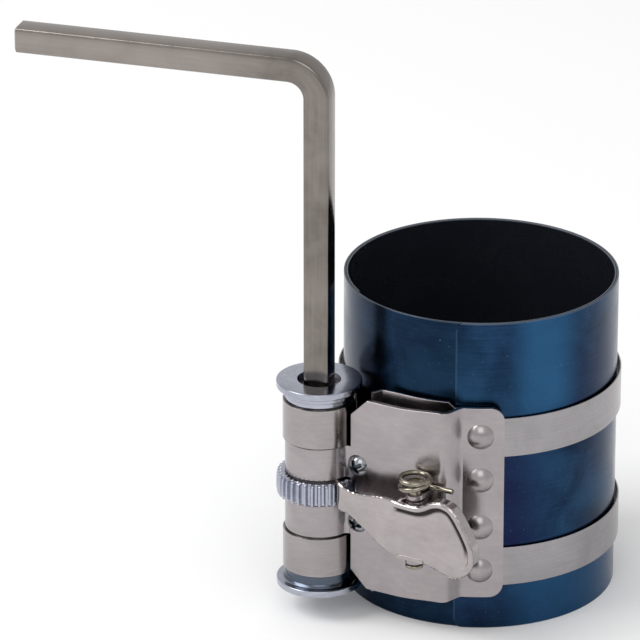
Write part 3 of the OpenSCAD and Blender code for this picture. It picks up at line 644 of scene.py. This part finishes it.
# both ends are chamfered over a short length
end_chamfer, end_share = 0.35 * mm, 0.88
leg = np.concatenate([[key_low, key_low + end_chamfer], np.linspace(key_low + mm, key_top - key_bend, 40)])
corner = np.linspace(0, math.pi / 2, 28)[1:-1]
arm = np.concatenate([np.linspace(key_bend, key_arm - mm, 32), [key_arm - end_chamfer, key_arm]])
key_run = np.concatenate([0 * leg, key_bend * (1 - np.cos(corner)), arm])
key_rise = np.concatenate([leg, key_top - key_bend * (1 - np.sin(corner)), np.full(len(arm), key_top)])
key_path = on_spindle + key_run[:, None] * key_outward + key_rise[:, None] * [0, 0, 1]


def carry_bar(name, path, section, side, grow):
    """Carries a closed section along a space path; side is the section's first
    direction at each point, the second stands square to side and path, and grow
    swells or shrinks the section."""
    step = np.gradient(path, axis=0)
    step /= np.linalg.norm(step, axis=1, keepdims=True)
    side = np.broadcast_to(side, step.shape)
    offset = side[:, None] * section[None, :, :1] + np.cross(step, side)[:, None] * section[None, :, 1:]
    grid = path[:, None] + offset * grow[:, None, None]
    gone = np.concatenate([[0], np.cumsum(np.linalg.norm(np.diff(path, axis=0), axis=1))])
    aside = np.linalg.norm(section - section[0], axis=1)
    uv = np.stack(np.broadcast_arrays(gone[:, None], aside[None]), -1)
    return lay_mesh(name, grid, grid_faces(*grid.shape[:2]), uv)


key_grow = np.ones(len(key_path))
key_grow[[0, -1]] = end_share
key = carry_bar("square_key", key_path, rounded_section(key_side, key_side, key_edge), key_across, key_grow)
key_steel = steel_finish("key_steel", (0.143, 0.127, 0.116), (0.243, 0.219, 0.201), (0.10, 0.22),
    along=True, patches=110, scratches=(45, 1500, 1), mix=0.4, bump=0.09)
# the arm is tinted brighter than the leg
key_along = split_place(key_steel, strip_place(key_steel))["X"]
arm_edges = [edge * mm for edge in (136, 158, 230, 240)]
tint_where(key_steel, (0.36, 0.322, 0.298), window(key_steel, key_along, arm_edges, 0.45))
dress(key, "key", key_steel, "key_steel", "key")


# Release lever: sheet pressed into a paddle with a shallow dish, its top and right edge
# turned back as a stiff rim; the nose bends in and ends in the pawl, and two ears hold
# it on the pin. Nickel plated like the plates.
lever_middle = 33.6 * mm
lever_face = -47.425 * mm
lever_thickness = 1.2 * mm
lever_nose = -21.9 * mm
# its outline seen from the front, about the pin: along the top from the nose, round the right end and back
lever_points = np.array([[-21.9, 4.0], [-15.6, 3.0], [-7.0, 4.2], [-2.0, 4.0], [2.6, 4.1], [6.4, 6.0],
    [9.6, 6.4], [13.0, 4.5], [17.2, -2.4], [18.0, -6.4], [17.3, -9.3], [14.9, -11.9], [11.4, -12.8],
    [4.5, -11.0], [-4.9, -9.8], [-12.0, -6.0], [-17.1, -3.2], [-21.9, -2.3]]) * mm


def curve_through(points, steps=16):
    """Smooth line through all points: cubic pieces whose slope at a point is that
    between its two neighbours, where the first and last point count as neighbours."""
    before, start, end, after = (np.roll(points, shift, axis=0)[:-1, None] for shift in (1, 0, -1, -2))
    part = np.linspace(0, 1, steps, endpoint=False)[None, :, None]
    square = (2 * before - 5 * start + 4 * end - after) * part**2
    cube = (3 * start - before - 3 * end + after) * part**3
    line = 0.5 * (2 * start + (end - before) * part + square + cube)
    return np.concatenate([line.reshape(-1, 2), points[-1:]])


outline = curve_through(lever_points)
far = int(np.argmax(outline[:, 0]))
upper, lower = outline[:far + 1], outline[far:][::-1]
# stations crowd toward the round right end; heights run from the lower to the upper line
station = outline[0, 0] + (outline[far, 0] - outline[0, 0]) * np.sin(np.linspace(0, math.pi / 2, 170))
lever_share = 0.5 - 0.5 * np.cos(np.linspace(0, math.pi, 56))
top_edge = np.interp(station, upper[:, 0], upper[:, 1])
low_edge = np.interp(station, lower[:, 0], lower[:, 1])
lever_height = low_edge[:, None] + (top_edge - low_edge)[:, None] * lever_share
# the sheet seen from above: pawl tip, nose and paddle, with an eased bend between them
plan_corners = np.array([[-15.6, -43.28], [-13.4, -44.823], [1.7, -46.825], [24.6, -46.825]]) * mm
plan = soften(plan_corners, 1.6 * mm, 9, False)
plan_y = np.interp(station + pin_place[0], plan[:, 0], plan[:, 1])
lean = np.gradient(plan_y, station)
# the sheet thins to the pawl's edge at its tip
half = lever_thickness / 2 * (0.3 + 0.7 * ease(lever_nose, lever_nose + 1.9 * mm, station))
spot = np.stack([np.broadcast_to(station[:, None], lever_height.shape), lever_height], -1)
spot_x, spot_z = spot[..., 0], spot[..., 1]


def gap_to(line):
    """How far each spot of the sheet is from the nearest point of a line."""
    return np.linalg.norm(spot[:, :, None] - line[None, None], axis=-1).min(-1)


right_of_bend = outline[:, 0] > -3.6 * mm
above_corner = outline[:, 1] > -9 * mm
rimmed = outline[right_of_bend & above_corner]
gap_all = gap_to(outline)
gap_rim = gap_to(outline[right_of_bend & (above_corner | (outline[:, 0] > 14 * mm))])
# edges fall away on a quarter circle and keep a sliver of thickness
edge_round = np.clip(1 - gap_all / (0.5 * mm), 0, 1)
fall = half[:, None] * (1 - np.sqrt(1 - edge_round**2)) * 0.95
# right of the bend a bead follows the rim and the dish sinks inside it; toward the lower
# right corner the rim sinks to the floor of the dish
bead_height, dish_depth = 0.2 * mm, 0.8 * mm
bead = bead_height * ease(0, 0.5 * mm, gap_rim) * (1 - ease(1.1 * mm, 1.5 * mm, gap_rim))
sunk = 1 - ease(-11.5 * mm, -6.5 * mm, spot_z)
dish = dish_depth * np.maximum(ease(1.3 * mm, 2.0 * mm, gap_rim), sunk) - bead * (1 - sunk)
dish *= ease(-4.3 * mm, -3.1 * mm, spot_x)
lever_normal = np.stack([lean, -np.ones(len(lean))], 1) / np.sqrt(1 + lean**2)[:, None]
centre = np.stack([station + pin_place[0], plan_y], 1)[:, None]
front = centre + lever_normal[:, None] * (half[:, None] - fall - dish)[..., None]
back = centre - lever_normal[:, None] * (half[:, None] - fall)[..., None]
lever_grid = np.empty((len(station), 2 * len(lever_share), 3))
lever_grid[..., :2] = np.concatenate([front, back[:, ::-1]], 1)
lever_grid[..., 2] = lever_middle + np.concatenate([lever_height, lever_height[:, ::-1]], 1)
# painted shade: a dark line just below the bead, on the front face only, standing in for the shade under the
# bead
crease_shade = ease(1.25 * mm, 1.5 * mm, gap_rim) * (1 - ease(2.5 * mm, 3.1 * mm, gap_rim))
crease_shade *= ease(-4.0 * mm, -3.0 * mm, spot_x) * ease(-7.5 * mm, -4.0 * mm, spot_z)
sheet = lay_mesh("lever_sheet", lever_grid, grid_faces(*lever_grid.shape[:2]),
    tags={"crease_shade": np.concatenate([crease_shade, 0 * crease_shade], 1)}, sharp=50)
lever_nickel = steel_finish("lever_nickel", (0.35, 0.32, 0.318), (0.46, 0.42, 0.418), (0.08, 0.18),
    patches=80, scratches=(300, 300, 900), mix=0.35, bump=0.05)
tint_where(lever_nickel, (0.03, 0.026, 0.022), point_value(lever_nickel, "crease_shade"))
dress(sheet, "lever", lever_nickel, "nickel_plate", "release_lever")
# the turned-back rim: a strip that follows the top and right of the outline, half a millimetre in
rim_step = np.diff(rimmed, axis=0)
rim_inward = np.stack([rim_step[:, 1], -rim_step[:, 0]], 1) / np.linalg.norm(rim_step, axis=1, keepdims=True)
rim_line = rimmed[:-1] + 0.5 * mm * rim_inward + [pin_place[0], lever_middle]
rim_front, rim_back = lever_face + 0.5 * mm, lever_face + 3.3 * mm
rim = carry_strip("lever_rim", rim_line, 0.9 * mm, rim_front, rim_back, 0.25 * mm, (0, 2, 1))
dress(rim, "lever", lever_nickel, "nickel_plate")
# ears: two flat tongues from the sheet to the pin, round at the back
ear_thickness = 1.0 * mm
ear = np.concatenate([2.4 * half_ring, [[-3.2, -3.2], [4.0, -3.2]]]) * mm
for name, low in (("lever_ear_upper", 36.75 * mm), ("lever_ear_lower", 22.6 * mm)):
    dress(tongue(name, ear, low, ear_thickness), "lever", lever_nickel, "nickel_plate")


# Pivot pin: plain steel pin through lugs and ears, both ends headed over cold. Bare
# steel with a thin brownish oil film.
pin_steel = steel_finish("pin_steel", (0.16, 0.142, 0.112), (0.34, 0.31, 0.255), (0.10, 0.22),
    patches=260, scratches=(900, 900, 900))
pin_profile = np.array([[0, 19.9], [2.2, 19.9], [2.2, 20.8], [1.6, 20.8], [1.6, 41.5], [2.2, 41.5],
    [2.2, 42.4], [0, 42.4]]) * mm
pin_profile = soften(pin_profile, 0.42 * mm, closed=False)
pin = turn_profile("headed_pin", pin_profile, np.array([*pin_place, 0]))
dress(pin, "frame", pin_steel, "pin_steel", "pivot_pin")


# Lever spring: hard-drawn wire wound in two turns round the pin, the upper one closed
# flat and the lower end laid straight along the plate. Cold formed, bare, brown tint.
wire_radius, spring_radius = 0.66 * mm, 3.5 * mm
spring_low, spring_rise = 40.1 * mm, 3.0 * mm
leg_reach = 8.4 * mm
wound = np.linspace(0, 3.9 * math.pi, 150)
lifted = spring_rise * ease(0, 2.2 * math.pi, wound)
helix = np.stack([-spring_radius * np.sin(wound), spring_radius * np.cos(wound), lifted], 1)
leg_run = np.linspace(leg_reach, 0.3 * mm, 14)
spring_leg = np.stack([leg_run, np.full(len(leg_run), spring_radius), 0 * leg_run], 1)
spring_path = np.concatenate([spring_leg, helix]) + [*pin_place, spring_low]
wire_step = np.gradient(spring_path, axis=0)
wire_side = np.stack([wire_step[:, 1], -wire_step[:, 0], 0 * wire_step[:, 0]], 1)
wire_side /= np.linalg.norm(wire_side, axis=1, keepdims=True)
wire_angle = np.linspace(0, 2 * math.pi, 20, endpoint=False)
wire_section = wire_radius * np.stack([np.cos(wire_angle), np.sin(wire_angle)], 1)
spring = carry_bar("wire_spring", spring_path, wire_section, wire_side, np.ones(len(spring_path)))
dress(spring, "frame", pin_steel, "pin_steel", "pawl_spring")


# Floor and backdrop: one plain pale sheet under plain soft studio light, which comes
# from all round with two large lamps in front.
floor_reach = 4.0
floor_sheet = bpy.data.meshes.new("floor")
floor_corners = np.array([[-1, -1, 0], [1, -1, 0], [1, 1, 0], [-1, 1, 0]]) * floor_reach
floor_sheet.from_pydata(floor_corners.tolist(), [], [(0, 1, 2, 3)])
floor = bpy.data.objects.new("floor", floor_sheet)
bpy.context.scene.collection.objects.link(floor)
floor_material = bpy.data.materials.new("pale_floor")
floor_material.use_nodes = True
floor_shader = floor_material.node_tree.nodes["Principled BSDF"]
floor_shader.inputs["Base Color"].default_value = (0.9, 0.9, 0.9, 1)
floor_shader.inputs["Roughness"].default_value = 0.9
floor_sheet.materials.append(floor_material)
floor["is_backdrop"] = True

world = bpy.data.worlds.new("studio")
bpy.context.scene.world = world
world.use_nodes = True
backdrop = world.node_tree.nodes["Background"]
backdrop.inputs["Color"].default_value = (1, 1, 1, 1)
backdrop.inputs["Strength"].default_value = 0.78


def soft_lamp(name, place, aim, size, power):
    """A square area lamp at place, turned to aim."""
    lamp = bpy.data.lights.new(name, "AREA")
    lamp.energy, lamp.size = power, size
    holder = bpy.data.objects.new(name, lamp)
    bpy.context.scene.collection.objects.link(holder)
    holder.location = place
    holder.rotation_mode = "QUATERNION"
    holder.rotation_quaternion = (Vector(aim) - Vector(place)).to_track_quat("-Z", "Y")
    holder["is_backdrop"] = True


middle = (-0.02, -0.01, 0.05)
soft_lamp("key_lamp", (-0.7, -0.6, 1.0), middle, 0.7, 8.5)
soft_lamp("fill_lamp", (0.5, -0.9, 0.9), middle, 0.8, 3)


# Camera: a long lens at the photo's angle, with no shift. Its length follows from how
# many pixels of the picture one metre of the part takes up.
photo_side, photo_rise = math.radians(30), math.radians(23.22)
photo_distance = 1.5
photo_aim = Vector((-0.0386, -0.01112, 0.06253))
flat_share = math.cos(photo_rise)
outward = Vector((math.sin(photo_side) * flat_share, -math.cos(photo_side) * flat_share,
    math.sin(photo_rise)))
pixels_per_metre, image_width = 4084, 640
lens = bpy.data.cameras.new("camera")
lens.sensor_width = 36
lens.lens = pixels_per_metre * photo_distance / image_width * lens.sensor_width
lens.clip_end = 20
camera = bpy.data.objects.new("camera", lens)
bpy.context.scene.collection.objects.link(camera)
camera.location = photo_aim + outward * photo_distance
camera.rotation_mode = "QUATERNION"
camera.rotation_quaternion = (-outward).to_track_quat("-Z", "Y")
bpy.context.scene.camera = camera
bpy.context.scene.view_settings.view_transform = "Standard"

low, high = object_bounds()
